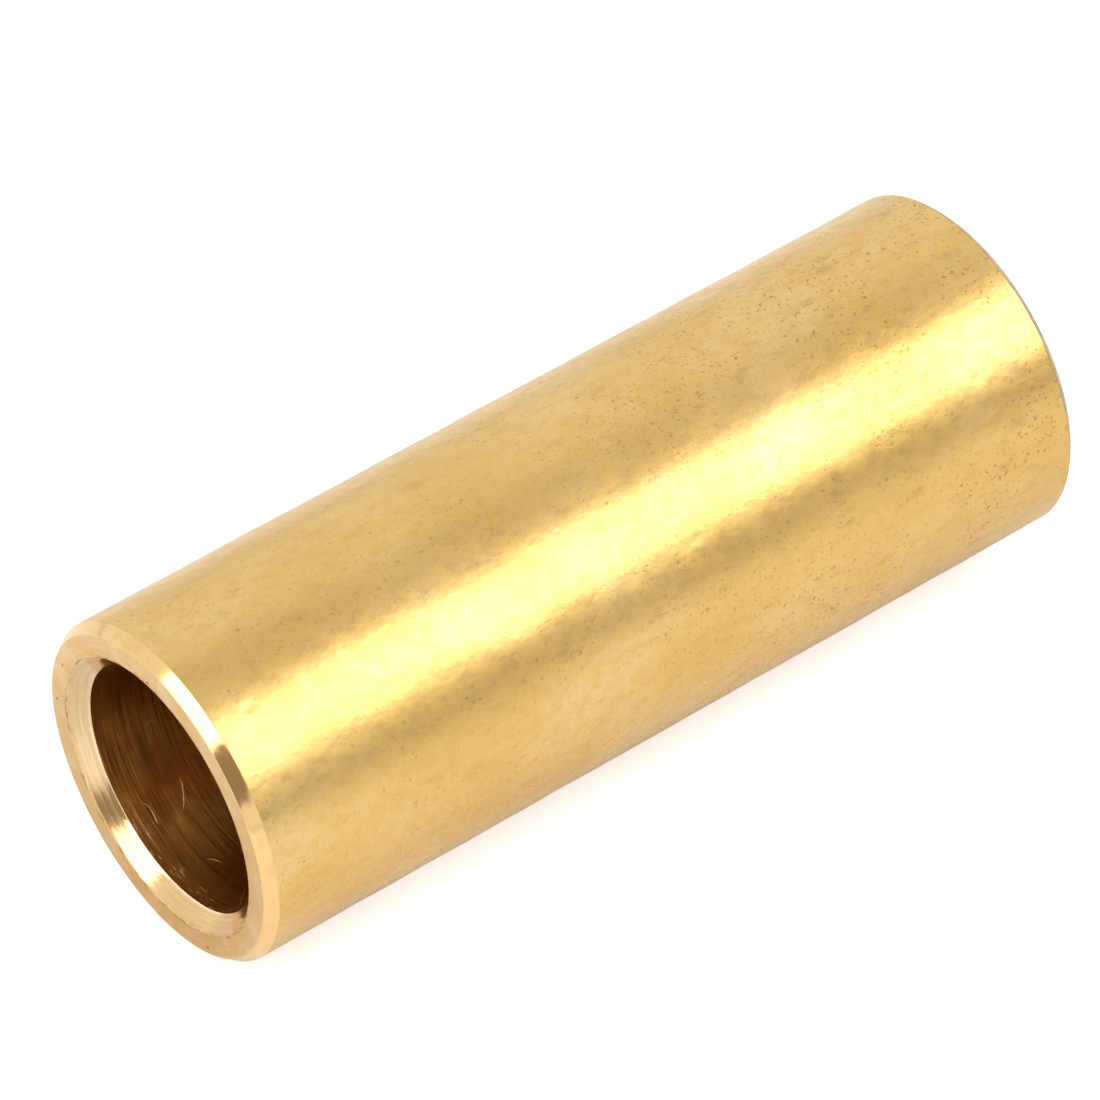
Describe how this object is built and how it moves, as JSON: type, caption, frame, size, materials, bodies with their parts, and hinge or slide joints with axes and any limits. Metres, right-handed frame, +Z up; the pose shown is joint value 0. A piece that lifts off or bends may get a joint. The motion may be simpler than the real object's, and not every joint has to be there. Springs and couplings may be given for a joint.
{
  "type": "guitar slide",
  "caption": "Plain round brass tube with chamfered rims and a countersunk through bore, worn on a finger and drawn along guitar strings.",
  "frame": {"origin": "on the surface that the tube lies on, midway between its ends: the middle of the line along which it touches that surface", "axes": "+X along the tube, away from the end that the finger enters; +Z up"},
  "size_m": [0.06, 0.022, 0.022],
  "materials": {
    "brass": "satin"
  },
  "bodies": {
    "root": {"slide_tube": "brass"}
  },
  "joints": []
}
